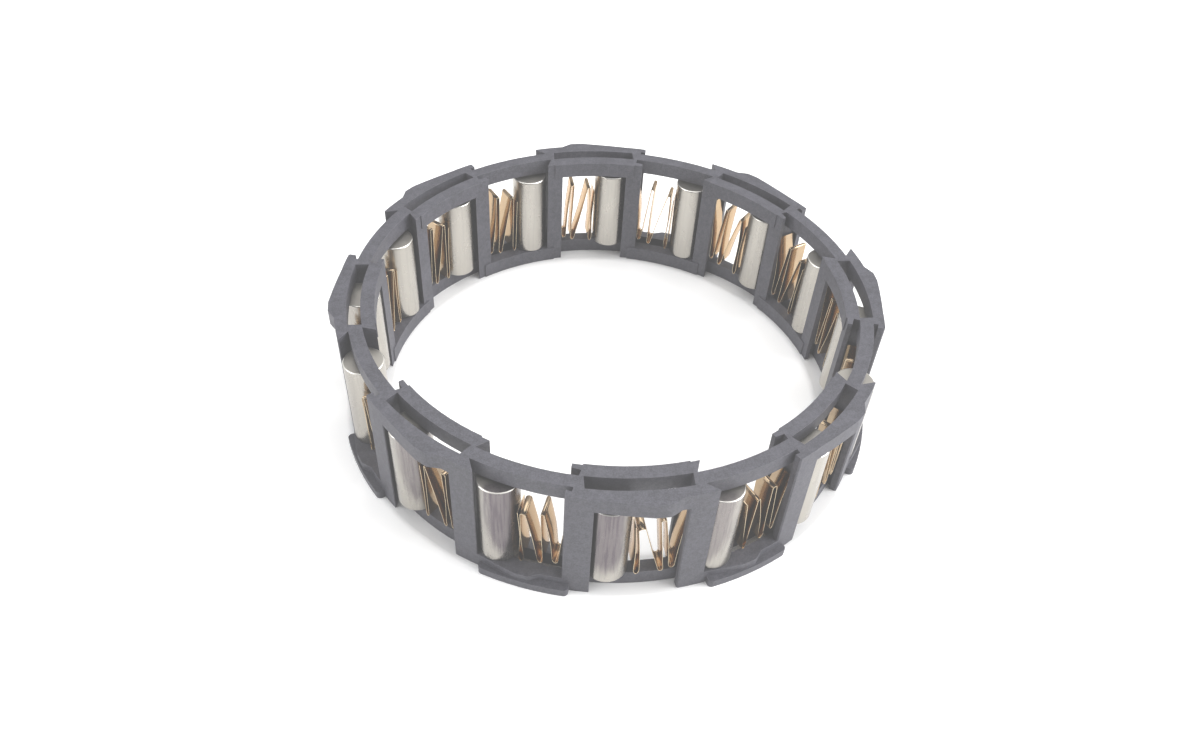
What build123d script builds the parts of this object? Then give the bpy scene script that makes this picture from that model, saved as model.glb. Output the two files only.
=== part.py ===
"""Cage, rollers and pleated springs of a roller one-way clutch.

Millimetres, +Z up. The origin is on the ring axis at the cage's lower face, and the first pocket is
centred on +X. Pockets are numbered anticlockwise seen from above. Each has its roller seat at its
clockwise end and its spring channel at the other. The pockets take turns: one has wide slotted rails
on top and a narrow rail below, and the next has them the other way up, with a flange.
"""

import os
from math import asin, cos, degrees, radians, sin, sqrt, tan

from build123d import *

# Overall sizes
cage_height = 30.4
bore_radius = 53.75
roller_diameter = 9.0
pocket_count = 16  # even, because the two kinds of pocket take turns

# Rings of the cage
race_standoff = 0.2  # a roller's diameter less the cage's depth, from bore to outside
inner_rail_width = 3.14
outer_rail_width = 2.6
rail_height = 3.85
post_relief = 0.3  # the posts' inner faces stand back from the rails' bore

# Posts
web_thickness = 2.07  # at the slots' outer radius
outer_lip_reach = 1.96  # the V seat's flanks, from its flat
inner_lip_reach = 2.25
cheek_reach = 0.9  # the spring channel's cheeks, from its floor
outer_cheek_width = 1.5
inner_cheek_width = 1.7
post_corner = 0.3

# Lobes of the outer rails, with their angles from the pocket's centre line
lobe_rise = 1.3
ramp_bow = 0.12  # bulge of the ramp from a straight line
top_lobe = {"ramp": -8.0, "crown": 2.55, "crown_end": 5.25, "foot": 7.55}
bottom_lobe = {"ramp": -7.5, "crown": 0.0, "crown_end": 2.7, "foot": 4.8}

# Flanges under the lower slotted rails
flange_reach = 1.75
flange_thickness = 2.0
flange_start = -7.5
flange_end = 10.5
flange_corner = 1.0

# Rollers
roller_end_play = 0.7
roller_foot_gap = 0.1
roller_seat_gap = 0.95
roller_chamfer = 0.4

# Springs: one strip with six legs, from the roller to the channel's floor
strip_thickness = 0.22
strip_side_gap = 0.3
strip_roller_gap = 0.18
strip_floor_gap = 0.3
fold_width = 0.6
# each fold's place along the spring, 0 at the roller and 1 at the floor, and its gap to the window
lower_folds = ((0.11, 0.3), (0.55, 0.9), (0.80, 1.65))
upper_folds = ((0.15, 5.5), (0.57, 4.5))
first_end_gap = 6.6
last_end_gap = 3.1

# Sizes that follow
pitch = 360 / pocket_count
base_radius = bore_radius + roller_diameter - race_standoff
slot_inner = bore_radius + inner_rail_width
slot_outer = base_radius - outer_rail_width
window_floor = rail_height
window_top = cage_height - rail_height
half_width = slot_outer * sin(radians(pitch / 2)) - web_thickness / 2
roller_ring = (bore_radius + base_radius) / 2
roller_length = window_top - window_floor - roller_end_play
roller_offset = half_width - roller_seat_gap - roller_diameter / 2
cheek_angle = degrees(asin((half_width - cheek_reach) / base_radius))
top_slotted = [2 * step * pitch for step in range(pocket_count // 2)]
bottom_slotted = [angle + pitch for angle in top_slotted]


def on_ring(radius, across):
    """The point of a circle about the ring axis that lies this far across the centre line."""
    return (sqrt(radius**2 - across**2), across)


def at_angle(radius, angle):
    """The point at this radius and angle."""
    return (radius * cos(radians(angle)), radius * sin(radians(angle)))


channel_inner = on_ring(bore_radius + inner_cheek_width, half_width)[0]
channel_outer = on_ring(base_radius - outer_cheek_width, half_width)[0]
# a spring stands square to the ring at its own middle
spring_turn = degrees(asin((roller_diameter / 2 - roller_offset + half_width) / 2 / roller_ring))


def sector(inner, outer, start, end):
    """A piece of a flat ring between two angles."""
    with BuildSketch() as plan:
        with BuildLine():
            CenterArc((0, 0), inner, start, end - start)
            CenterArc((0, 0), outer, start, end - start)
            Line(at_angle(inner, start), at_angle(outer, start))
            Line(at_angle(inner, end), at_angle(outer, end))
        make_face()
    return plan.sketch


def pocket_outline():
    """The opening between two posts: a V seat at one end and a spring channel at the other."""
    outside = base_radius + 3
    inside = bore_radius - 3
    cheek_slope = tan(radians(cheek_angle))
    outer_lip = on_ring(base_radius, outer_lip_reach - half_width)
    inner_lip = on_ring(bore_radius, inner_lip_reach - half_width)
    with BuildSketch() as plan:
        with BuildLine():
            Polyline(
                (outside, outer_lip[1]),
                outer_lip,
                on_ring(slot_outer, -half_width),
                on_ring(slot_inner, -half_width),
                inner_lip,
                (inside, inner_lip[1]),
                (inside, inside * cheek_slope),
                (channel_inner, channel_inner * cheek_slope),
                (channel_inner, half_width),
                (channel_outer, half_width),
                (channel_outer, channel_outer * cheek_slope),
                (outside, outside * cheek_slope),
                close=True,
            )
        make_face()
    return plan.sketch


def lobed_rail(lobe):
    """The outer rail of a slotted pocket, with the lobe that follows the cam race's ramp."""
    crown_radius = base_radius + lobe_rise
    with BuildSketch() as plan:
        with BuildLine():
            CenterArc((0, 0), slot_outer, -pitch / 2, pitch)
            Line(at_angle(slot_outer, -pitch / 2), at_angle(base_radius, -pitch / 2))
            CenterArc((0, 0), base_radius, -pitch / 2, lobe["ramp"] + pitch / 2)
            SagittaArc(
                at_angle(base_radius, lobe["ramp"]),
                at_angle(crown_radius, lobe["crown"]),
                -ramp_bow,
            )
            CenterArc((0, 0), crown_radius, lobe["crown"], lobe["crown_end"] - lobe["crown"])
            Line(at_angle(crown_radius, lobe["crown_end"]), at_angle(base_radius, lobe["foot"]))
            CenterArc((0, 0), base_radius, lobe["foot"], pitch / 2 - lobe["foot"])
            Line(at_angle(slot_outer, pitch / 2), at_angle(base_radius, pitch / 2))
        make_face()
    return plan.sketch


def rails(slotted, plain, lobe):
    """All rails at one end of the cage: wide slotted pairs at half the pockets, narrow ones between."""
    with BuildSketch() as plan:
        for angle in slotted:
            with Locations(Location((0, 0, 0), (0, 0, angle))):
                add(sector(bore_radius, slot_inner, -pitch / 2, pitch / 2))
                add(lobed_rail(lobe))
        for angle in plain:
            with Locations(Location((0, 0, 0), (0, 0, angle))):
                add(sector(slot_inner, slot_outer, -pitch / 2, pitch / 2))
    return plan.sketch


def make_roller(pocket_angle):
    """One roller, just off its seat."""
    foot = Plane.XY.rotated((0, 0, pocket_angle)).offset(window_floor + roller_foot_gap)
    with BuildPart() as roller:
        with BuildSketch(foot):
            with Locations(on_ring(roller_ring, -roller_offset)):
                Circle(roller_diameter / 2)
        extrude(amount=roller_length)
        chamfer(roller.edges().filter_by(GeomType.CIRCLE), length=roller_chamfer)
    return roller.part


def make_spring(pocket_angle):
    """One pleated spring, drawn edge on from inside the ring and extruded outwards."""
    corner_across = half_width - strip_floor_gap
    inner_corner = Vector(channel_inner + strip_side_gap, corner_across)
    outer_corner = Vector(channel_outer - strip_side_gap, corner_across)
    inner_corner = inner_corner.rotate(Axis.Z, -spring_turn)
    outer_corner = outer_corner.rotate(Axis.Z, -spring_turn)
    roller_centre = Vector(*on_ring(roller_ring, -roller_offset)).rotate(Axis.Z, -spring_turn)
    near = roller_centre.Y + roller_diameter / 2 + strip_roller_gap
    far = outer_corner.Y
    lower = [(near + place * (far - near), window_floor + gap) for place, gap in lower_folds]
    upper = [(near + place * (far - near), window_top - gap) for place, gap in upper_folds]
    folds = [lower[0], upper[0], lower[1], upper[1], lower[2]]
    outward = Vector(*at_angle(1, pocket_angle + spring_turn))
    across = Vector(*at_angle(1, pocket_angle + spring_turn + 90))
    edge_plane = Plane(outward * inner_corner.X, x_dir=across, z_dir=outward)
    bends = [(near, window_top - first_end_gap)]
    for place, height in folds:
        bends.append((place - fold_width / 2, height))
        bends.append((place + fold_width / 2, height))
    bends.append((far, window_top - last_end_gap))
    with BuildPart() as spring:
        with BuildSketch(edge_plane):
            with BuildLine():
                Polyline(bends)
                offset(amount=strip_thickness, side=Side.RIGHT, kind=Kind.INTERSECTION)
            make_face()
        extrude(amount=outer_corner.X - inner_corner.X)
    return spring.part


with BuildSketch() as posts:
    Circle(base_radius)
    Circle(bore_radius + post_relief, mode=Mode.SUBTRACT)
    with PolarLocations(0, pocket_count):
        add(pocket_outline(), mode=Mode.SUBTRACT)
    chamfer(posts.vertices().group_by(SortBy.DISTANCE)[-1], length=post_corner)

with BuildSketch() as flange:
    add(sector(slot_outer, base_radius + flange_reach, flange_start, flange_end))
    fillet(flange.vertices().group_by(SortBy.DISTANCE)[-1], radius=flange_corner)

with BuildPart() as cage:
    with BuildSketch():
        add(posts.sketch)
        add(rails(bottom_slotted, top_slotted, bottom_lobe))
    extrude(amount=window_floor)
    with BuildSketch(Plane.XY.offset(window_floor)):
        add(posts.sketch)
    extrude(amount=window_top - window_floor)
    with BuildSketch(Plane.XY.offset(window_top)):
        add(posts.sketch)
        add(rails(top_slotted, bottom_slotted, top_lobe))
    extrude(amount=rail_height)
    with BuildSketch():
        with PolarLocations(0, pocket_count // 2, start_angle=pitch):
            add(flange.sketch)
    extrude(amount=flange_thickness)
cage.part.label = "cage"

pieces = [cage.part]
for number in range(pocket_count):
    roller = make_roller(number * pitch)
    roller.label = f"roller_{number + 1:02d}"
    spring = make_spring(number * pitch)
    spring.label = f"spring_{number + 1:02d}"
    pieces += [roller, spring]

os.makedirs("parts", exist_ok=True)
for piece in pieces:
    export_step(piece, f"parts/{piece.label}.step")
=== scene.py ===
"""Roller clutch cage: the finished look of a moulded cage with steel rollers and pleated springs.

Everything is in metres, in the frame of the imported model. Each operator makes one group of pieces,
and the sizes and colours that can be changed are in the property groups.
"""

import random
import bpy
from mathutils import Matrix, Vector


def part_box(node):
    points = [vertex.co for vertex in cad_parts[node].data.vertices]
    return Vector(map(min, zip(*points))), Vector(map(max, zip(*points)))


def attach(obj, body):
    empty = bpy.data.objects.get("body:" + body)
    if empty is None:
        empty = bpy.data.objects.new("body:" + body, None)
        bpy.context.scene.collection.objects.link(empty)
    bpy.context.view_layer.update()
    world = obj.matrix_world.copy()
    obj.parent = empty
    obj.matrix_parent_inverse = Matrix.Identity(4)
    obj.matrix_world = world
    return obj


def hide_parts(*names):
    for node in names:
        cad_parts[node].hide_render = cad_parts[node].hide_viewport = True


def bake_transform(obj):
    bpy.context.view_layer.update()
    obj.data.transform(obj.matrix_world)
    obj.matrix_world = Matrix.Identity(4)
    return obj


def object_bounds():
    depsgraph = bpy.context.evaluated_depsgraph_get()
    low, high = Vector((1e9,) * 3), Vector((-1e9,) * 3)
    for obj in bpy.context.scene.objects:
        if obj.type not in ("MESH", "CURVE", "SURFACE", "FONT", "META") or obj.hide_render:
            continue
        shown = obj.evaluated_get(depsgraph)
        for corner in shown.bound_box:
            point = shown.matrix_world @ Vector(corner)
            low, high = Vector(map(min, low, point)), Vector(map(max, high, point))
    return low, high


bl_info = {
    "name": "Roller Clutch Cage",
    "version": (1, 0, 0),
    "blender": (4, 5, 0),
    "location": "3D View > Sidebar > Roller Clutch",
    "description": "Makes the cage, rollers, pleated springs and studio of a roller one-way clutch",
    "category": "Object",
}

from math import atan2, cos, pi, radians, sin

import bmesh
import bpy
from bpy.props import FloatProperty, FloatVectorProperty, IntProperty, PointerProperty
from bpy.types import Operator, Panel, PropertyGroup
from mathutils import Matrix, Vector

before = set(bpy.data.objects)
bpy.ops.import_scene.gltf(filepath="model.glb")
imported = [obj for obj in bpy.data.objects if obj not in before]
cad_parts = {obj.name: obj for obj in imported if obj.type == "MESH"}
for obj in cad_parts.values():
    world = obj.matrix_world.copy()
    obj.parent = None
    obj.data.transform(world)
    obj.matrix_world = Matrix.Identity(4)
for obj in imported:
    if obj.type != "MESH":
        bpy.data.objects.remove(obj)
cad_box = [list(corner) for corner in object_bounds()]

MM = 0.001
POCKETS = 16
PITCH = 2 * pi / POCKETS
ROLLER_NAMES = [f"roller_{number:02d}" for number in range(1, POCKETS + 1)]
SPRING_NAMES = [f"spring_{number:02d}" for number in range(1, POCKETS + 1)]

# The first pocket is centred on +X, so its own pieces give the sizes of them all.
roller_low, roller_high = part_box("roller_01")

# A spring stands square to the ring at its own middle, so it is measured turned back by that angle.
spring_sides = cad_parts["spring_01"].data
outer_side = max(spring_sides.polygons, key=lambda face: face.normal.x).normal
spring_turn = atan2(outer_side.y, outer_side.x)
square_on = Matrix.Rotation(-spring_turn, 3, "Z")
spring_corners = [square_on @ vertex.co for vertex in spring_sides.vertices]
spring_low = Vector([min(corner[axis] for corner in spring_corners) for axis in range(3)])
spring_high = Vector([max(corner[axis] for corner in spring_corners) for axis in range(3)])


# ---------------------------------------------------------------- sizes and colours


def length_property(name, description, default, least, most):
    """A length that a user can change, given in millimetres."""
    return FloatProperty(
        name=name,
        description=description,
        default=default * MM,
        min=least * MM,
        max=most * MM,
        precision=5,
        unit="LENGTH",
    )


def colour_property(name, description, default):
    """A colour that a user can change."""
    return FloatVectorProperty(
        name=name,
        description=description,
        default=(*default, 1.0),
        size=4,
        min=0,
        max=1,
        subtype="COLOR",
    )


class CageSettings(PropertyGroup):
    edge_rounding: length_property("Edge rounding", "Radius of the moulded edges", 0.22, 0.02, 0.5)
    edge_segments: IntProperty(
        name="Edge segments", description="Steps in each rounded edge", default=3, min=1, max=6
    )
    colour: colour_property("Nylon", "Main colour of the filled nylon", (0.042, 0.041, 0.052))
    cloud_colour: colour_property(
        "Nylon clouds", "Colour of the paler clouds where the filler shows", (0.092, 0.090, 0.110)
    )
    # the edges are worn paler by handling and partly painted lighter as a highlight
    edge_colour: colour_property(
        "Worn and highlit edges", "Colour of edges worn by handling and painted lighter as a highlight", (0.16, 0.158, 0.178)
    )


class RollerSettings(PropertyGroup):
    edge_rounding: length_property(
        "Edge rounding", "Radius between a roller's side and its end", 0.30, 0.05, 1.0
    )
    segments: IntProperty(
        name="Segments", description="Steps round a roller", default=72, min=16, max=128
    )
    colour: colour_property("Steel", "Colour of the ground steel", (0.46, 0.435, 0.39))
    streak_colour: colour_property(
        "Streaks", "Colour of the faint streaks along the steel", (0.405, 0.382, 0.348)
    )
    # painted highlight on the roller's rounded rim
    rim_colour: colour_property(
        "Painted rim highlight", "Colour of the bright rounded rim", (0.90, 0.88, 0.82)
    )
    # painted reflection: the dim front of the room, painted dark on the rollers' outward side
    film_colour: colour_property(
        "Painted reflection",
        "Colour of the dark reflection painted on a roller's outward side",
        (0.13, 0.110, 0.122),
    )


class SpringSettings(PropertyGroup):
    thickness: length_property(
        "Strip thickness", "Thickness of the spring strip", 0.15, 0.05, 0.4
    )
    fold_width: length_property(
        "Fold width", "Width of the rounded loop at each fold", 1.2, 0.3, 1.8
    )
    fold_length: length_property(
        "Fold length", "How far up its legs an upper fold is rounded", 0.8, 0.3, 4.0
    )
    bow: length_property(
        "Leg bow", "How far the middle of a leg bends off its straight line", 0.26, 0, 0.6
    )
    unevenness: length_property(
        "Unevenness", "How far the folds of one spring stray from those of the next", 0.3, 0, 1.0
    )
    seed: IntProperty(name="Seed", description="Choice of the stray folds", default=4, min=0)
    colour: colour_property("Strip", "Colour of the bronze strip", (0.48, 0.366, 0.236))
    tint_colour: colour_property(
        "Tarnish", "Colour of the browner patches on the strip", (0.36, 0.256, 0.183)
    )
    # painted highlight on the strip's sheared edges
    edge_colour: colour_property(
        "Sheared edge highlight", "Colour of the strip's bright sheared edge", (0.70, 0.60, 0.43)
    )


class StudioSettings(PropertyGroup):
    focal_length: FloatProperty(
        name="Focal length",
        description="The camera's focal length",
        default=30.194,
        min=10,
        max=200,
        unit="CAMERA",
    )
    light: FloatProperty(
        name="Light", description="Strength of the studio's light", default=1.25, min=0, max=5
    )
    floor_glow: FloatProperty(
        name="Floor glow",
        description="Light that comes up through the floor",
        default=0.3,
        min=0,
        max=2,
    )
    floor_colour: colour_property("Floor", "Colour of the floor", (0.93, 0.93, 0.93))


# ---------------------------------------------------------------- node helpers


def add_node(tree, kind, sockets=None, **settings):
    """A new node with its settings and its sockets' values or links."""
    node = tree.nodes.new(kind)
    for setting, value in settings.items():
        setattr(node, setting, value)
    for socket, value in (sockets or {}).items():
        if isinstance(value, bpy.types.NodeSocket):
            tree.links.new(value, node.inputs[socket])
        else:
            node.inputs[socket].default_value = value
    return node


def math_node(tree, operation, first, second=0.0):
    """The result of one sum, product or other operation."""
    return add_node(tree, "ShaderNodeMath", {0: first, 1: second}, operation=operation).outputs[0]


def scaled(tree, vector, factor):
    """A vector socket times a number."""
    return add_node(
        tree, "ShaderNodeVectorMath", {0: vector, "Scale": factor}, operation="SCALE"
    ).outputs[0]


def length_of(tree, vector):
    """The length of a vector socket."""
    return add_node(
        tree, "ShaderNodeVectorMath", {0: vector}, operation="LENGTH"
    ).outputs["Value"]


def vector_of(tree, **parts):
    """A vector with these parts, named x, y and z."""
    return add_node(
        tree, "ShaderNodeCombineXYZ", {name.upper(): part for name, part in parts.items()}
    ).outputs[0]


def parts_of(tree, vector):
    """The three parts of a vector socket."""
    return add_node(tree, "ShaderNodeSeparateXYZ", {0: vector}).outputs


def fade(tree, value, start, end, curve="SMOOTHSTEP"):
    """A mask that is 0 where the value is at its start and 1 where it is at its end."""
    return add_node(
        tree,
        "ShaderNodeMapRange",
        {"Value": value, "From Min": start, "From Max": end},
        interpolation_type=curve,
    ).outputs[0]


def ranged(tree, mask, low, high):
    """A mask turned into a value that is low where the mask is 0 and high where it is 1."""
    return add_node(
        tree, "ShaderNodeMapRange", {"Value": mask, "To Min": low, "To Max": high}
    ).outputs[0]


def mix_colour(tree, factor, first, second):
    """A colour between two, given as values or sockets."""
    return add_node(
        tree, "ShaderNodeMix", {0: factor, 6: first, 7: second}, data_type="RGBA"
    ).outputs[2]


# ---------------------------------------------------------------- geometry trees


def new_tree(name, inputs):
    """A geometry tree with these named inputs, and its group input's sockets."""
    tree = bpy.data.node_groups.new(name, "GeometryNodeTree")
    face = tree.interface
    face.new_socket("Geometry", in_out="INPUT", socket_type="NodeSocketGeometry")
    for label, kind in inputs.items():
        face.new_socket(label, in_out="INPUT", socket_type="NodeSocket" + kind)
    face.new_socket("Geometry", in_out="OUTPUT", socket_type="NodeSocketGeometry")
    return tree, tree.nodes.new("NodeGroupInput").outputs


def stored(tree, geometry, name, value, kind="FLOAT"):
    """The geometry with a value written to each of its points."""
    return add_node(
        tree,
        "GeometryNodeStoreNamedAttribute",
        {"Geometry": geometry, "Name": name, "Value": value},
        data_type=kind,
    ).outputs[0]


def read_back(tree, name, kind="FLOAT"):
    """The value that each point holds under this name."""
    return add_node(
        tree, "GeometryNodeInputNamedAttribute", {"Name": name}, data_type=kind
    ).outputs[0]


def smoothed(tree, geometry):
    """The geometry shaded smooth."""
    return add_node(tree, "GeometryNodeSetShadeSmooth", {"Geometry": geometry}).outputs[0]


def merged(tree, geometry, distance):
    """The geometry with points nearer than this joined."""
    return add_node(
        tree, "GeometryNodeMergeByDistance", {"Geometry": geometry, "Distance": distance}
    ).outputs[0]


def filleted(tree, curve, count, radius):
    """The curve with its corners rounded in this many steps."""
    return add_node(
        tree,
        "GeometryNodeFilletCurve",
        {"Curve": curve, "Count": count, "Radius": radius, "Limit Radius": True},
        mode="POLY",
    ).outputs[0]


def stood_in_pocket(tree, geometry, place, angle):
    """The geometry moved to its place in the first pocket, then turned round to its own."""
    moved = add_node(
        tree, "GeometryNodeTransform", {"Geometry": geometry, "Translation": place}
    )
    return add_node(
        tree,
        "GeometryNodeTransform",
        {"Geometry": moved.outputs[0], "Rotation": vector_of(tree, z=angle)},
    ).outputs[0]


def end_tree(tree, geometry, material):
    """Realizes the instances, sets the material and closes the tree."""
    real = add_node(tree, "GeometryNodeRealizeInstances", {"Geometry": geometry})
    painted = add_node(
        tree, "GeometryNodeSetMaterial", {"Geometry": real.outputs[0], "Material": material}
    )
    add_node(tree, "NodeGroupOutput", {0: painted.outputs[0]})


def new_object(name, data):
    """An object at the origin that holds this mesh, light or camera."""
    made = bpy.data.objects.new(name, data)
    bpy.context.scene.collection.objects.link(made)
    return made


def evaluated_mesh(made):
    """A plain mesh of the object with its modifiers applied."""
    graph = bpy.context.evaluated_depsgraph_get()
    return bpy.data.meshes.new_from_object(
        made.evaluated_get(graph), preserve_all_data_layers=True, depsgraph=graph
    )


def grow(name, start, tree, values):
    """A plain mesh object: the tree's result on the start mesh, with these input values."""
    source = new_object(name + "_start", start)
    modifier = source.modifiers.new(tree.name, "NODES")
    modifier.node_group = tree
    for item in tree.interface.items_tree:
        if item.in_out == "INPUT" and item.name in values:
            modifier[item.identifier] = values[item.name]
    mesh = evaluated_mesh(source)
    mesh.name = name
    bpy.data.objects.remove(source)
    bpy.data.meshes.remove(start)
    return new_object(name, mesh)


def line_mesh(name, points, **marks):
    """Points joined by edges in a row. Each mark holds a number or a vector for every point."""
    mesh = bpy.data.meshes.new(name)
    mesh.from_pydata(points, [(n, n + 1) for n in range(len(points) - 1)], [])
    for mark, values in marks.items():
        if isinstance(values[0], Vector):
            written = mesh.attributes.new(mark, "FLOAT_VECTOR", "POINT").data
            written.foreach_set("vector", [part for value in values for part in value])
        else:
            written = mesh.attributes.new(mark, "FLOAT", "POINT").data
            written.foreach_set("value", values)
    return mesh


# ---------------------------------------------------------------- shader groups


def new_shader_group(name, inputs, output):
    """A shader group with these inputs and one output, and its group input's sockets."""
    group = bpy.data.node_groups.new(name, "ShaderNodeTree")
    for label, default in inputs.items():
        socket = group.interface.new_socket(
            label, in_out="INPUT", socket_type="NodeSocketFloat"
        )
        socket.default_value = default
    group.interface.new_socket(output, in_out="OUTPUT", socket_type="NodeSocketFloat")
    return group, group.nodes.new("NodeGroupInput").outputs


def use_group(tree, make, **values):
    """A group placed with its own values. It is made once, under its function's name."""
    group = bpy.data.node_groups.get(make.__name__) or make()
    node = add_node(tree, "ShaderNodeGroup", node_tree=group)
    for socket, value in values.items():
        node.inputs[socket.replace("_", " ")].default_value = value
    return node.outputs[0]


def stretched_noise(group, given, detail, roughness):
    """Noise on the piece's own coordinates, stretched along Z by the group's Height."""
    place = add_node(group, "ShaderNodeTexCoord")
    stretched = add_node(
        group,
        "ShaderNodeVectorMath",
        {0: place.outputs["Object"], 1: vector_of(group, x=1.0, y=1.0, z=given["Height"])},
        operation="MULTIPLY",
    )
    return add_node(
        group,
        "ShaderNodeTexNoise",
        {
            "Vector": stretched.outputs[0],
            "Scale": given["Scale"],
            "Detail": detail,
            "Roughness": roughness,
        },
    ).outputs[0]


def soft_mottle():
    """Soft cloudy patches, stretched along Z where Height is under 1."""
    group, given = new_shader_group(
        "soft_mottle", {"Scale": 300.0, "Height": 1.0, "Low": 0.35, "High": 0.65}, "Mask"
    )
    noise = stretched_noise(group, given, detail=4.0, roughness=0.6)
    mask = fade(group, noise, given["Low"], given["High"])
    add_node(group, "NodeGroupOutput", {0: mask})
    return group


def fine_grain():
    """Fine grain for a Bump node's height, stretched along Z where Height is under 1."""
    group, given = new_shader_group("fine_grain", {"Scale": 3000.0, "Height": 1.0}, "Grain")
    noise = stretched_noise(group, given, detail=3.0, roughness=0.55)
    add_node(group, "NodeGroupOutput", {0: noise})
    return group


def edge_wear_and_highlight():
    """Where the piece's edges are, broken up by small noise as wear is, for painted edge highlights.
    """
    group, given = new_shader_group("edge_wear_and_highlight", {"Scale": 600.0, "Break Up": 0.5}, "Mask")
    edge = add_node(group, "ShaderNodeAttribute", attribute_name="edge")
    place = add_node(group, "ShaderNodeTexCoord")
    noise = add_node(
        group,
        "ShaderNodeTexNoise",
        {"Vector": place.outputs["Object"], "Scale": given["Scale"], "Detail": 3.0},
    )
    gap = math_node(group, "SUBTRACT", 1.0, fade(group, noise.outputs[0], 0.35, 0.6))
    lost = math_node(group, "MULTIPLY", gap, given["Break Up"])
    kept = math_node(group, "SUBTRACT", 1.0, lost)
    mask = math_node(group, "MULTIPLY", edge.outputs["Fac"], kept)
    add_node(group, "NodeGroupOutput", {0: mask})
    return group


def place_on_roller(tree):
    """A roller's own coordinates: radii across it, and 0 to 1 from its foot to its top."""
    place = add_node(tree, "ShaderNodeAttribute", attribute_name="on_roller")
    return parts_of(tree, place.outputs["Vector"])


def dark_reflection_patch():
    """A painted dark reflection on a roller's outward side: streaky, wide at the top and rounded
    near the foot.
    """
    group, given = new_shader_group(
        "dark_reflection_patch", {"Half Width": 0.6, "Foot": 0.15, "Waver": 0.3}, "Mask"
    )
    outward, sideways, up = place_on_roller(group)
    amount = add_node(group, "ShaderNodeAttribute", attribute_name="reflected_dark")
    across = math_node(group, "DIVIDE", sideways, given["Half Width"])
    bend = math_node(group, "ADD", given["Foot"], 0.5)
    below_bend = math_node(group, "MAXIMUM", math_node(group, "SUBTRACT", bend, up), 0.0)
    down = math_node(group, "MULTIPLY", below_bend, 2.0)
    distance = length_of(group, vector_of(group, x=across, y=down))
    warp = use_group(group, soft_mottle, Scale=700.0, Height=0.12, Low=0.25, High=0.75)
    wavered = math_node(group, "MULTIPLY", warp, given["Waver"])
    patch = fade(group, math_node(group, "ADD", distance, wavered), 1.25, 0.75)
    outward_side = fade(group, outward, 0.0, 0.4)
    shown = math_node(group, "MULTIPLY", patch, outward_side)
    mask = math_node(group, "MULTIPLY", shown, amount.outputs["Fac"])
    add_node(group, "NodeGroupOutput", {0: mask})
    return group


# ---------------------------------------------------------------- materials

GRAIN_DEPTH = 0.1 * MM


def new_material(name):
    """A material with its tree and its Principled shader, ready for its links."""
    material = bpy.data.materials.new(name)
    material.use_nodes = True
    return material, material.node_tree, material.node_tree.nodes["Principled BSDF"]


def set_surface(tree, shader, colour, roughness, height, bump_strength):
    """Links a material's colour, roughness and bump to its shader."""
    tree.links.new(colour, shader.inputs["Base Color"])
    tree.links.new(roughness, shader.inputs["Roughness"])
    bump = add_node(
        tree,
        "ShaderNodeBump",
        {"Height": height, "Strength": bump_strength, "Distance": GRAIN_DEPTH},
    )
    tree.links.new(bump.outputs[0], shader.inputs["Normal"])


def nylon_material(settings):
    """Filled nylon: matt, cloudy, with a fine moulded grain and edges worn paler, partly painted as
    a highlight.
    """
    material, tree, shader = new_material("filled_nylon")
    clouds = use_group(tree, soft_mottle, Scale=200.0, Low=0.36, High=0.70)
    patches = use_group(tree, soft_mottle, Scale=900.0, Low=0.38, High=0.64)
    specks = use_group(tree, soft_mottle, Scale=3200.0, Low=0.42, High=0.62)
    edges = use_group(tree, edge_wear_and_highlight, Scale=420.0, Break_Up=0.55)
    grain = use_group(tree, fine_grain, Scale=5200.0)
    pale = math_node(tree, "MULTIPLY", clouds, 0.35)
    for layer, share in ((patches, 0.35), (specks, 0.45)):
        pale = math_node(tree, "ADD", pale, math_node(tree, "MULTIPLY", layer, share))
    body = mix_colour(tree, pale, settings.colour, settings.cloud_colour)
    # edges painted paler: partly wear, partly a painted highlight
    rubbed_and_highlit = math_node(tree, "MULTIPLY", edges, 0.6)
    colour = mix_colour(tree, rubbed_and_highlit, body, settings.edge_colour)
    roughness = ranged(tree, clouds, 0.50, 0.62)
    set_surface(tree, shader, colour, roughness, grain, bump_strength=0.16)
    return material


def roller_side(tree):
    """1 on a roller's ground side and 0 on its end faces."""
    x, y, _ = place_on_roller(tree)
    return fade(tree, length_of(tree, vector_of(tree, x=x, y=y)), 0.93, 0.98, curve="LINEAR")


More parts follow.
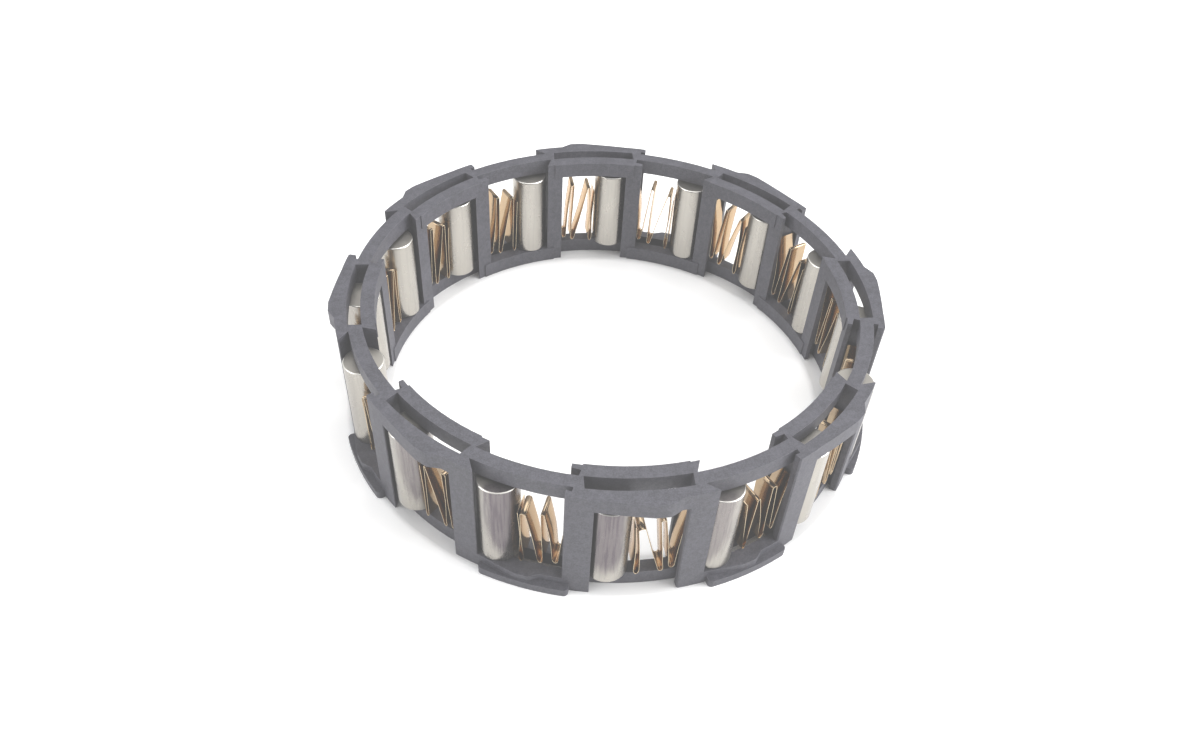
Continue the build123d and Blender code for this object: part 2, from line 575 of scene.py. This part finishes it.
def steel_material(settings):
    """Ground bearing steel: satin, with faint streaks, a painted dark reflection and a painted rim
    highlight.
    """
    material, tree, shader = new_material("ground_steel")
    shader.inputs["Metallic"].default_value = 1.0
    streaks = use_group(tree, soft_mottle, Scale=1800.0, Height=0.05, Low=0.46, High=0.62)
    haze = use_group(tree, soft_mottle, Scale=240.0, Height=0.5, Low=0.35, High=0.70)
    specks = use_group(tree, soft_mottle, Scale=2600.0, Low=0.40, High=0.68)
    edges = use_group(tree, edge_wear_and_highlight, Scale=900.0, Break_Up=0.1)
    # painted dark reflection of the room's dim front on the outward side, strongest on the front
    # rollers
    reflected_dark = use_group(tree, dark_reflection_patch, Half_Width=0.92, Foot=0.08, Waver=0.22)
    grain = use_group(tree, fine_grain, Scale=2600.0, Height=0.035)
    side = roller_side(tree)
    spotted = math_node(tree, "ADD", streaks, math_node(tree, "MULTIPLY", specks, 0.3))
    marks = math_node(tree, "MULTIPLY", spotted, math_node(tree, "MULTIPLY", side, 0.5))
    body = mix_colour(tree, marks, settings.colour, settings.streak_colour)
    streaky = math_node(tree, "ADD", math_node(tree, "MULTIPLY", streaks, 0.16), 0.84)
    streaky_reflection = math_node(tree, "MULTIPLY", reflected_dark, streaky)
    reflection_mixed = mix_colour(tree, streaky_reflection, body, settings.film_colour)
    # painted highlight: the rounded rim is painted much brighter than the steel
    colour = mix_colour(tree, edges, reflection_mixed, settings.rim_colour)
    satin = ranged(tree, haze, 0.24, 0.33)
    rougher_ends = ranged(tree, side, 0.14, 0.0)
    roughness = math_node(tree, "ADD", satin, rougher_ends)
    ground = math_node(tree, "MULTIPLY", grain, side)
    set_surface(tree, shader, colour, roughness, ground, bump_strength=0.035)
    return material


def strip_material(settings):
    """Bronze strip: rolled and lightly tarnished, with a painted highlight on its sheared edges."""
    material, tree, shader = new_material("bronze_strip")
    shader.inputs["Metallic"].default_value = 1.0
    shader.inputs["Specular Tint"].default_value = (0.90, 0.76, 0.62, 1.0)
    tarnish = use_group(tree, soft_mottle, Scale=260.0, Low=0.30, High=0.75)
    rolled = use_group(tree, soft_mottle, Scale=2400.0, Height=0.06, Low=0.40, High=0.65)
    edges = use_group(tree, edge_wear_and_highlight, Scale=900.0, Break_Up=0.2)
    grain = use_group(tree, fine_grain, Scale=3000.0, Height=0.08)
    worn = math_node(tree, "MULTIPLY", tarnish, 0.5)
    body = mix_colour(tree, worn, settings.colour, settings.tint_colour)
    # painted highlight on the sheared edges
    colour = mix_colour(tree, edges, body, settings.edge_colour)
    roughness = ranged(tree, rolled, 0.13, 0.19)
    set_surface(tree, shader, colour, roughness, grain, bump_strength=0.04)
    return material


# The floor glows clear of the cage only. Each pair is a distance from the ring axis at which the
# glow ends and one at which it is full.
GLOW_INSIDE = (53.5 * MM, 52 * MM)
GLOW_OUTSIDE = (62.8 * MM, 64 * MM)


def floor_material(settings):
    """Pale matt board with a very faint texture, with a painted glow that lifts the shadows round
    the cage.
    """
    material, tree, shader = new_material("studio_floor")
    shader.inputs["Roughness"].default_value = 0.9
    shader.inputs["Specular IOR Level"].default_value = 0.1
    shader.inputs["Emission Strength"].default_value = settings.floor_glow
    fibres = use_group(tree, soft_mottle, Scale=60.0, Low=0.3, High=0.7)
    board = tuple(settings.floor_colour)
    darker = tuple(0.985 * part for part in board[:3]) + (1.0,)
    tree.links.new(mix_colour(tree, fibres, board, darker), shader.inputs["Base Color"])
    place = add_node(tree, "ShaderNodeTexCoord")
    from_axis = length_of(tree, place.outputs["Object"])
    inside = fade(tree, from_axis, *GLOW_INSIDE, curve="LINEAR")
    outside = fade(tree, from_axis, *GLOW_OUTSIDE, curve="LINEAR")
    clear_of_cage = math_node(tree, "ADD", inside, outside)
    glow = mix_colour(tree, clear_of_cage, (0.0, 0.0, 0.0, 1.0), board)
    tree.links.new(glow, shader.inputs["Emission Color"])
    return material


# ---------------------------------------------------------------- cage

# The repeated section is cut this far before the middle of a post, clear of the rails' ends.
CUT_OFF_MIDDLE = radians(0.5)
FLAT_WITHIN = radians(0.8)
SECTION_JOIN = 0.03 * MM
ROUND_FROM = radians(35)


def cage_section():
    """Two neighbouring pockets of the frame's cage, cut through the posts at each end."""
    first_cut = -PITCH / 2 - CUT_OFF_MIDDLE
    work = bmesh.new()
    work.from_mesh(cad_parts["cage"].data)
    bmesh.ops.remove_doubles(work, verts=work.verts, dist=0.001 * MM)
    for angle, drop_far_side in ((first_cut, False), (first_cut + 2 * PITCH, True)):
        bmesh.ops.bisect_plane(
            work,
            geom=work.verts[:] + work.edges[:] + work.faces[:],
            dist=0.0001 * MM,
            plane_co=(0, 0, 0),
            plane_no=(-sin(angle), cos(angle), 0),
            clear_outer=drop_far_side,
            clear_inner=not drop_far_side,
        )
    bmesh.ops.dissolve_limit(
        work, angle_limit=FLAT_WITHIN, verts=work.verts, edges=work.edges, delimit=set()
    )
    mesh = bpy.data.meshes.new("cage_section")
    work.to_mesh(mesh)
    work.free()
    return mesh


def ring_tree():
    """Sets copies of a section round the ring axis and joins them."""
    tree, given = new_tree(
        "ring_of_sections",
        {"Sections": "Int", "Join Distance": "Float", "Material": "Material"},
    )
    points = add_node(
        tree,
        "GeometryNodeMeshLine",
        {"Count": given["Sections"], "Offset": (0.0, 0.0, 0.0)},
    )
    number = add_node(tree, "GeometryNodeInputIndex")
    turn = math_node(tree, "DIVIDE", 2 * pi, given["Sections"])
    angle = math_node(tree, "MULTIPLY", number.outputs[0], turn)
    ring = add_node(
        tree,
        "GeometryNodeInstanceOnPoints",
        {
            "Points": points.outputs[0],
            "Instance": given["Geometry"],
            "Rotation": vector_of(tree, z=angle),
        },
    )
    real = add_node(tree, "GeometryNodeRealizeInstances", {"Geometry": ring.outputs[0]})
    joined = merged(tree, real.outputs[0], given["Join Distance"])
    end_tree(tree, smoothed(tree, joined), given["Material"])
    return tree


def mark_edges(mesh, slot):
    """Writes the attribute that the materials read as the edge mask, from faces in this slot."""
    rounded = [0] * len(mesh.vertices)
    touching = [0] * len(mesh.vertices)
    for face in mesh.polygons:
        for vertex in face.vertices:
            touching[vertex] += 1
            rounded[vertex] += face.material_index == slot
        face.material_index = 0
    marks = [float(whole > 0 and part == whole) for part, whole in zip(rounded, touching)]
    mesh.attributes.new("edge", "FLOAT", "POINT").data.foreach_set("value", marks)


class ROLLERCLUTCH_OT_cage(Operator):
    """Make the moulded cage from its repeated two-pocket section"""

    bl_idname = "rollerclutch.cage"
    bl_label = "Cage"

    def execute(self, context):
        settings = context.scene.roller_clutch_cage
        nylon = nylon_material(settings)
        cage = grow(
            "moulded_cage",
            cage_section(),
            ring_tree(),
            {"Sections": POCKETS // 2, "Join Distance": SECTION_JOIN, "Material": nylon},
        )
        # the bevel puts its own faces in the second slot, which tells where the edges are
        plain_slot, edge_slot = 0, 1
        rough = cage.data
        rough.materials.clear()
        rough.materials.append(nylon)
        rough.materials.append(nylon)
        rough.polygons.foreach_set("material_index", [plain_slot] * len(rough.polygons))
        bevel = cage.modifiers.new("rounded edges", "BEVEL")
        bevel.width = settings.edge_rounding
        bevel.segments = settings.edge_segments
        bevel.limit_method = "ANGLE"
        bevel.angle_limit = ROUND_FROM
        bevel.use_clamp_overlap = True
        bevel.miter_outer = "MITER_ARC"
        bevel.material = edge_slot
        weight = cage.modifiers.new("flat faces stay flat", "WEIGHTED_NORMAL")
        weight.keep_sharp = False
        cage.data = evaluated_mesh(cage)
        cage.modifiers.clear()
        bpy.data.meshes.remove(rough)
        mark_edges(cage.data, edge_slot)
        cage.data.materials.pop(index=edge_slot)
        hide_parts("cage")
        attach(cage, "cage")
        return {"FINISHED"}


# ---------------------------------------------------------------- rollers

RIM_STEPS = 5
POLE_JOIN = 0.002 * MM  # closes the turned outline at the roller's axis
REFLECTION_SEED = 7
# How much painted dark reflection a roller has, and how far round it has turned, in degrees. It
# stands for the dim front of the room, so it is strongest on the front rollers. Those left out have
# a little, turned by chance.
REFLECTION_DARKENED_ROLLERS = {11: (0.8, 65), 12: (1.0, 40), 13: (1.0, -16), 14: (0.75, -48)}
MOST_CHANCE_REFLECTION = 0.2
MOST_CHANCE_TURN = 60


def roller_tree():
    """Turns a roller from its half outline, and stands it in its pocket."""
    tree, given = new_tree(
        "turned_roller",
        {
            "Radius": "Float",
            "Length": "Float",
            "Edge Rounding": "Float",
            "Segments": "Int",
            "Dark Reflection": "Float",
            "Dark Reflection Turn": "Float",
            "Place": "Vector",
            "Pocket Angle": "Float",
            "Material": "Material",
        },
    )
    radius = given["Radius"]

    def inset(share):
        """The roller's radius less this share of its edge rounding."""
        step = math_node(tree, "MULTIPLY", given["Edge Rounding"], share)
        return math_node(tree, "SUBTRACT", radius, step)

    outline = add_node(tree, "GeometryNodeMeshToCurve", {"Mesh": given["Geometry"]})
    rounding = math_node(tree, "MULTIPLY", read_back(tree, "rounded"), given["Edge Rounding"])
    circle = add_node(
        tree,
        "GeometryNodeCurvePrimitiveCircle",
        {"Resolution": given["Segments"], "Radius": radius},
    )
    turned = add_node(
        tree,
        "GeometryNodeCurveToMesh",
        {
            "Curve": circle.outputs[0],
            "Profile Curve": filleted(tree, outline.outputs[0], RIM_STEPS, rounding),
        },
    )
    roller = smoothed(tree, merged(tree, turned.outputs[0], POLE_JOIN))

    spot = add_node(tree, "GeometryNodeInputPosition")
    x, y, z = parts_of(tree, spot.outputs[0])
    reach = length_of(tree, vector_of(tree, x=x, y=y))
    off_side = math_node(tree, "LESS_THAN", reach, inset(0.1))
    off_end = math_node(tree, "GREATER_THAN", reach, inset(0.95))
    roller = stored(tree, roller, "edge", math_node(tree, "MULTIPLY", off_side, off_end))

    # the turning stands the roller's top at the origin and its foot below
    from_top = math_node(tree, "DIVIDE", z, given["Length"])
    on_roller = vector_of(
        tree,
        x=math_node(tree, "DIVIDE", x, radius),
        y=math_node(tree, "DIVIDE", y, radius),
        z=math_node(tree, "ADD", from_top, 1.0),
    )
    # the painted dark reflection: its side of the roller and how much of it there is
    reflection_side_on = add_node(
        tree,
        "ShaderNodeVectorRotate",
        {"Vector": on_roller, "Angle": given["Dark Reflection Turn"]},
        rotation_type="Z_AXIS",
    )
    roller = stored(tree, roller, "on_roller", reflection_side_on.outputs[0], kind="FLOAT_VECTOR")
    roller = stored(tree, roller, "reflected_dark", given["Dark Reflection"])
    placed = stood_in_pocket(tree, roller, given["Place"], given["Pocket Angle"])
    end_tree(tree, placed, given["Material"])
    return tree


def roller_outline(radius, length, edge_rounding):
    """A roller's half outline, from its axis down its side and back to its axis."""
    # a point either side of each corner holds the shading of the flat faces
    support = 1.35 * edge_rounding
    points = [
        (-radius, 0, 0),
        (-support, 0, 0),
        (0, 0, 0),
        (0, support, 0),
        (0, length - support, 0),
        (0, length, 0),
        (-support, length, 0),
        (-radius, length, 0),
    ]
    return line_mesh("roller_outline", points, rounded=[0, 0, 1, 0, 0, 1, 0, 0])


class ROLLERCLUTCH_OT_rollers(Operator):
    """Make the ground steel rollers, one in each pocket"""

    bl_idname = "rollerclutch.rollers"
    bl_label = "Rollers"

    def execute(self, context):
        settings = context.scene.roller_clutch_rollers
        steel = steel_material(settings)
        tree = roller_tree()
        middle = (roller_low + roller_high) / 2
        radius = (roller_high.x - roller_low.x) / 2
        length = roller_high.z - roller_low.z
        chance = random.Random(REFLECTION_SEED)
        for number, node in enumerate(ROLLER_NAMES):
            a_little = (
                chance.uniform(0.0, MOST_CHANCE_REFLECTION),
                chance.uniform(-MOST_CHANCE_TURN, MOST_CHANCE_TURN),
            )
            # each roller's share of painted dark reflection and the way it faces
            reflected_dark, reflection_turn = REFLECTION_DARKENED_ROLLERS.get(number + 1, a_little)
            roller = grow(
                f"ground_{node}",
                roller_outline(radius, length, settings.edge_rounding),
                tree,
                {
                    "Radius": radius,
                    "Length": length,
                    "Edge Rounding": settings.edge_rounding,
                    "Segments": settings.segments,
                    "Dark Reflection": reflected_dark,
                    "Dark Reflection Turn": radians(-reflection_turn),
                    "Place": (middle.x, middle.y, roller_high.z),
                    "Pocket Angle": number * PITCH,
                    "Material": steel,
                },
            )
            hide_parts(node)
            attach(roller, node)
        return {"FINISHED"}


# ---------------------------------------------------------------- springs

# Each fold's place across, 0 at the roller and 1 at the post, its height above the spring's foot
# in millimetres, and its loop's width as a share of the fold width, in turn below and above.
# Springs are folded and fitted by hand, so those named here sit unevenly.
USUAL_FOLDS = (
    (0.11, 0.0, 0.8),
    (0.14, 17.2, 0.7),
    (0.55, 0.7, 1.0),
    (0.57, 18.4, 0.7),
    (0.80, 1.5, 1.0),
)
UNEVEN_FOLDS = {
    11: (
        (0.08, 0.0, 0.6),
        (0.13, 16.4, 0.35),
        (0.57, 0.4, 0.8),
        (0.62, 17.6, 0.9),
        (0.76, 1.2, 0.6),
    ),
    12: (
        (0.06, 0.0, 0.9),
        (0.10, 15.6, 1.0),
        (0.46, 0.7, 1.1),
        (0.49, 16.7, 0.65),
        (0.76, 1.7, 1.2),
    ),
    13: (
        (0.11, -0.1, 1.0),
        (0.13, 14.8, 1.3),
        (0.61, 0.1, 1.05),
        (0.53, 16.9, 0.9),
        (0.82, 0.9, 1.2),
    ),
    14: (
        (0.17, 0.1, 0.7),
        (0.29, 15.8, 0.6),
        (0.59, 1.1, 1.15),
        (0.64, 17.7, 0.9),
        (0.83, 2.7, 0.85),
    ),
}
FIRST_LEG_HEIGHT = 15.7 * MM
# The points of one rounded fold: how far across and how far up its legs, from its tip.
FOLD_POINTS = (
    (-1.0, 1.0),
    (-0.92, 0.5),
    (-0.6, 0.15),
    (0.0, 0.0),
    (0.6, 0.15),
    (0.92, 0.5),
    (1.0, 1.0),
)
LOWER_LOOP_STRETCH = 2.4  # the lower folds are longer loops than the creased upper ones
LINE_STEPS = 4


def strip_tree():
    """Rounds the folds of a line, sweeps the strip along it, and stands it in its pocket."""
    tree, given = new_tree(
        "pleated_strip",
        {
            "Strip Width": "Float",
            "Strip Thickness": "Float",
            "Fold Width": "Float",
            "Fold Length": "Float",
            "Leg Bow": "Float",
            "Ring Distance": "Float",
            "Pocket Angle": "Float",
            "Seed": "Int",
            "Material": "Material",
        },
    )
    width, thickness = given["Strip Width"], given["Strip Thickness"]

    line = add_node(tree, "GeometryNodeMeshToCurve", {"Mesh": given["Geometry"]})
    half_fold = math_node(tree, "MULTIPLY", given["Fold Width"], 0.5)
    open_fold = scaled(tree, read_back(tree, "across", "FLOAT_VECTOR"), half_fold)
    raise_fold = scaled(tree, read_back(tree, "along", "FLOAT_VECTOR"), given["Fold Length"])
    loop = add_node(tree, "ShaderNodeVectorMath", {0: open_fold, 1: raise_fold})
    stray = add_node(tree, "FunctionNodeRandomValue", {"Seed": given["Seed"]}, data_type="FLOAT")
    stray.inputs[2].default_value = -1.0
    stray.inputs[3].default_value = 1.0
    bow = math_node(tree, "MULTIPLY", stray.outputs[1], given["Leg Bow"])
    push = vector_of(tree, y=math_node(tree, "MULTIPLY", bow, read_back(tree, "leg")))
    offset = add_node(tree, "ShaderNodeVectorMath", {0: loop.outputs[0], 1: push})
    bent = add_node(
        tree,
        "GeometryNodeSetPosition",
        {"Geometry": line.outputs[0], "Offset": offset.outputs[0]},
    )
    smooth_line = add_node(
        tree, "GeometryNodeCurveSplineType", {"Curve": bent.outputs[0]}, spline_type="CATMULL_ROM"
    )
    fine_line = add_node(
        tree,
        "GeometryNodeSetSplineResolution",
        {"Geometry": smooth_line.outputs[0], "Resolution": LINE_STEPS},
    )

    section = add_node(
        tree, "GeometryNodeCurvePrimitiveQuadrilateral", {"Width": width, "Height": thickness}
    )
    corner_radius = math_node(tree, "MULTIPLY", thickness, 0.45)
    swept = add_node(
        tree,
        "GeometryNodeCurveToMesh",
        {
            "Curve": fine_line.outputs[0],
            "Profile Curve": filleted(tree, section.outputs[0], 2, corner_radius),
            "Fill Caps": True,
        },
    )

    spot = add_node(tree, "GeometryNodeInputPosition")
    reach = math_node(tree, "ABSOLUTE", parts_of(tree, spot.outputs[0])[0])
    half_width = math_node(tree, "MULTIPLY", width, 0.5)
    edge_depth = math_node(tree, "MULTIPLY", thickness, 0.3)
    edge_from = math_node(tree, "SUBTRACT", half_width, edge_depth)
    edge = math_node(tree, "GREATER_THAN", reach, edge_from)
    strip = stored(tree, smoothed(tree, swept.outputs[0]), "edge", edge)
    outward = vector_of(tree, x=given["Ring Distance"])
    placed = stood_in_pocket(tree, strip, outward, given["Pocket Angle"])
    end_tree(tree, placed, given["Material"])
    return tree


def folded_line(settings, number):
    """The strip's middle line, from the roller to the post, with the marks that shape its folds."""
    chance = random.Random(settings.seed * 100 + number)
    stray = settings.unevenness if number not in UNEVEN_FOLDS else 0
    near = spring_low.y + settings.thickness / 2
    far = spring_high.y - settings.thickness / 2
    foot = spring_low.z + settings.thickness / 2
    start = Vector((0, near, foot + FIRST_LEG_HEIGHT))
    end = Vector((0, far, spring_high.z - settings.thickness))
    folds = UNEVEN_FOLDS.get(number, USUAL_FOLDS)
    tips = []
    for place, height, loop in folds:
        off_roller = near + loop * settings.fold_width / 2
        across = near + place * (far - near) + chance.uniform(-stray, stray)
        up = foot + height * MM + chance.uniform(0, stray)
        tips.append(Vector((0, max(across, off_roller), up)))

    # each row is a point, its moves across and along its fold, and 1 in the middle of a leg
    still = Vector((0, 0, 0))
    corners = [start] + tips + [end]
    rows = [(start, still, still, 0.0)]
    for before, tip, after, (_, _, loop) in zip(corners, tips, corners[2:], folds):
        rows.append(((before + tip) / 2, still, still, 1.0))
        upward = (before - tip).normalized() + (after - tip).normalized()
        upward.normalize()
        is_lower = upward.z > 0
        sideways = Vector((0, abs(upward.z), -upward.y if is_lower else upward.y))
        stretch = LOWER_LOOP_STRETCH if is_lower else 1.0
        for side, rise in FOLD_POINTS:
            rows.append((tip, sideways * side * loop, upward * rise * stretch, 0.0))
    rows += [((tips[-1] + end) / 2, still, still, 1.0), (end, still, still, 0.0)]
    points, across, along, leg = zip(*rows)
    return line_mesh("spring_line", points, across=across, along=along, leg=leg)


class ROLLERCLUTCH_OT_springs(Operator):
    """Make the pleated strip springs, one between each roller and the next post"""

    bl_idname = "rollerclutch.springs"
    bl_label = "Springs"

    def execute(self, context):
        settings = context.scene.roller_clutch_springs
        strip = strip_material(settings)
        tree = strip_tree()
        middle = (spring_low.x + spring_high.x) / 2
        for number, node in enumerate(SPRING_NAMES):
            angle = number * PITCH + spring_turn
            spring = grow(
                f"pleated_{node}",
                folded_line(settings, number + 1),
                tree,
                {
                    "Strip Width": spring_high.x - spring_low.x,
                    "Strip Thickness": settings.thickness,
                    "Fold Width": settings.fold_width,
                    "Fold Length": settings.fold_length,
                    "Leg Bow": settings.bow,
                    "Ring Distance": middle,
                    "Pocket Angle": angle,
                    "Seed": settings.seed * 100 + number,
                    "Material": strip,
                },
            )
            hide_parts(node)
            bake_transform(spring)
        return {"FINISHED"}


# ---------------------------------------------------------------- studio

FLOOR_CORNERS = ((-3.0, -3.0), (3.0, -3.0), (3.0, 3.0), (-3.0, 3.0))
FLOOR_GAP = 0.05 * MM
# Each light's name, power at a light of 1, side, place and the point it faces.
LIGHTS = (
    ("overhead_light", 0.7, 0.4, (0.02, 0.10, 0.40), (0, 0.04, 0)),
    ("right_light", 6.0, 0.6, (0.8, -0.2, 0.45), (0, 0, 0.01)),
    ("left_light", 2.2, 0.6, (-0.8, -0.25, 0.4), (0, 0, 0.01)),
)
# Parts of the room: a direction, and the cosines of the angles from it where the part begins and
# where it is full.
FRONT_OF_ROOM = ((-0.15, -0.96, 0.25), 0.55, 0.93)
RIGHT_OF_ROOM = ((0.95, -0.15, 0.25), 0.20, 0.95)
LEFT_OF_ROOM = ((-0.93, -0.30, 0.25), 0.40, 0.95)
ROOM_LIGHT = 0.42  # at a light of 1
RIGHT_EXTRA = 1.6
LEFT_EXTRA = 0.6
WHITE = (1.0, 1.0, 1.0, 1.0)
DIM = (0.42, 0.42, 0.43, 1.0)
# The camera's place and its turns in degrees, before it swings round the ring axis.
CAMERA_PLACE = (0.00186, -0.18109, 0.17413)
CAMERA_TILT = 43.04
CAMERA_ROLL = 4.714
CAMERA_SWING = -8.43
CAMERA_SHIFT = (-0.0140, 0.0530)
BLACK_LEVEL = -0.085  # below 0, so the darkest tones come out grey


def part_of_room(tree, direction, begins, full):
    """A mask of the part of the room that lies in this direction."""
    place = add_node(tree, "ShaderNodeTexCoord")
    facing = add_node(
        tree,
        "ShaderNodeVectorMath",
        {0: place.outputs["Generated"], 1: Vector(direction).normalized()},
        operation="DOT_PRODUCT",
    )
    return fade(tree, facing.outputs["Value"], begins, full)


def soft_room(light):
    """A white room that is dim at the front and brighter at its sides."""
    world = bpy.data.worlds.new("soft_room")
    world.use_nodes = True
    tree = world.node_tree
    background = tree.nodes["Background"]
    front, right, left = (
        part_of_room(tree, *part) for part in (FRONT_OF_ROOM, RIGHT_OF_ROOM, LEFT_OF_ROOM)
    )
    tree.links.new(mix_colour(tree, front, WHITE, DIM), background.inputs["Color"])
    more_right = math_node(tree, "MULTIPLY", right, RIGHT_EXTRA)
    more_left = math_node(tree, "MULTIPLY", left, LEFT_EXTRA)
    sides = math_node(tree, "ADD", more_right, more_left)
    whole = math_node(tree, "ADD", sides, 1.0)
    strength = math_node(tree, "MULTIPLY", whole, ROOM_LIGHT * light)
    tree.links.new(strength, background.inputs["Strength"])
    return world


def area_light(name, energy, size, place, target):
    """A soft square light at a place, facing a target."""
    data = bpy.data.lights.new(name, "AREA")
    data.shape = "SQUARE"
    data.energy = energy
    data.size = size
    lamp = new_object(name, data)
    lamp.location = place
    lamp.rotation_euler = (Vector(target) - Vector(place)).to_track_quat("-Z", "Y").to_euler()


class ROLLERCLUTCH_OT_studio(Operator):
    """Make the floor, the lights and the camera"""

    bl_idname = "rollerclutch.studio"
    bl_label = "Studio"

    def execute(self, context):
        settings = context.scene.roller_clutch_studio
        scene = context.scene

        sheet = bpy.data.meshes.new("studio_floor")
        low = cad_box[0][2] - FLOOR_GAP
        sheet.from_pydata([(x, y, low) for x, y in FLOOR_CORNERS], [], [(0, 1, 2, 3)])
        sheet.materials.append(floor_material(settings))
        floor = new_object("studio_floor", sheet)

        scene.world = soft_room(settings.light)
        for name, power, *rest in LIGHTS:
            area_light(name, power * settings.light, *rest)

        lens = bpy.data.cameras.new("camera")
        lens.lens = settings.focal_length
        lens.sensor_width = 36
        lens.shift_x, lens.shift_y = CAMERA_SHIFT
        lens.clip_start = 0.01
        lens.clip_end = 20
        camera = new_object("camera", lens)
        camera.matrix_world = (
            Matrix.Rotation(radians(CAMERA_SWING), 4, "Z")
            @ Matrix.Translation(CAMERA_PLACE)
            @ Matrix.Rotation(radians(CAMERA_TILT), 4, "X")
            @ Matrix.Rotation(radians(CAMERA_ROLL), 4, "Z")
        )
        scene.camera = camera
        view = scene.view_settings
        view.view_transform = "Standard"
        view.use_curve_mapping = True
        view.curve_mapping.black_level = (BLACK_LEVEL,) * 3
        view.curve_mapping.update()
        return {"FINISHED"}


# ---------------------------------------------------------------- add-on


class ROLLERCLUTCH_PT_sidebar(Panel):
    """Lists the makers of the clutch's pieces"""

    bl_label = "Roller Clutch"
    bl_idname = "ROLLERCLUTCH_PT_sidebar"
    bl_space_type = "VIEW_3D"
    bl_region_type = "UI"
    bl_category = "Roller Clutch"

    def draw(self, context):
        for name, maker in zip(SETTINGS, OPERATORS):
            settings = getattr(context.scene, name)
            box = self.layout.box()
            box.operator(maker.bl_idname)
            for setting in settings.__annotations__:
                box.prop(settings, setting)


SETTINGS = {
    "roller_clutch_cage": CageSettings,
    "roller_clutch_rollers": RollerSettings,
    "roller_clutch_springs": SpringSettings,
    "roller_clutch_studio": StudioSettings,
}
OPERATORS = (
    ROLLERCLUTCH_OT_cage,
    ROLLERCLUTCH_OT_rollers,
    ROLLERCLUTCH_OT_springs,
    ROLLERCLUTCH_OT_studio,
)


def register():
    for name, group in SETTINGS.items():
        bpy.utils.register_class(group)
        setattr(bpy.types.Scene, name, PointerProperty(type=group))
    for operator in OPERATORS:
        bpy.utils.register_class(operator)
    bpy.utils.register_class(ROLLERCLUTCH_PT_sidebar)


def unregister():
    bpy.utils.unregister_class(ROLLERCLUTCH_PT_sidebar)
    for operator in reversed(OPERATORS):
        bpy.utils.unregister_class(operator)
    for name, group in SETTINGS.items():
        delattr(bpy.types.Scene, name)
        bpy.utils.unregister_class(group)


def main():
    register()
    bpy.ops.rollerclutch.cage()
    bpy.ops.rollerclutch.rollers()
    bpy.ops.rollerclutch.springs()
    bpy.ops.rollerclutch.studio()


if __name__ == "__main__":
    main()
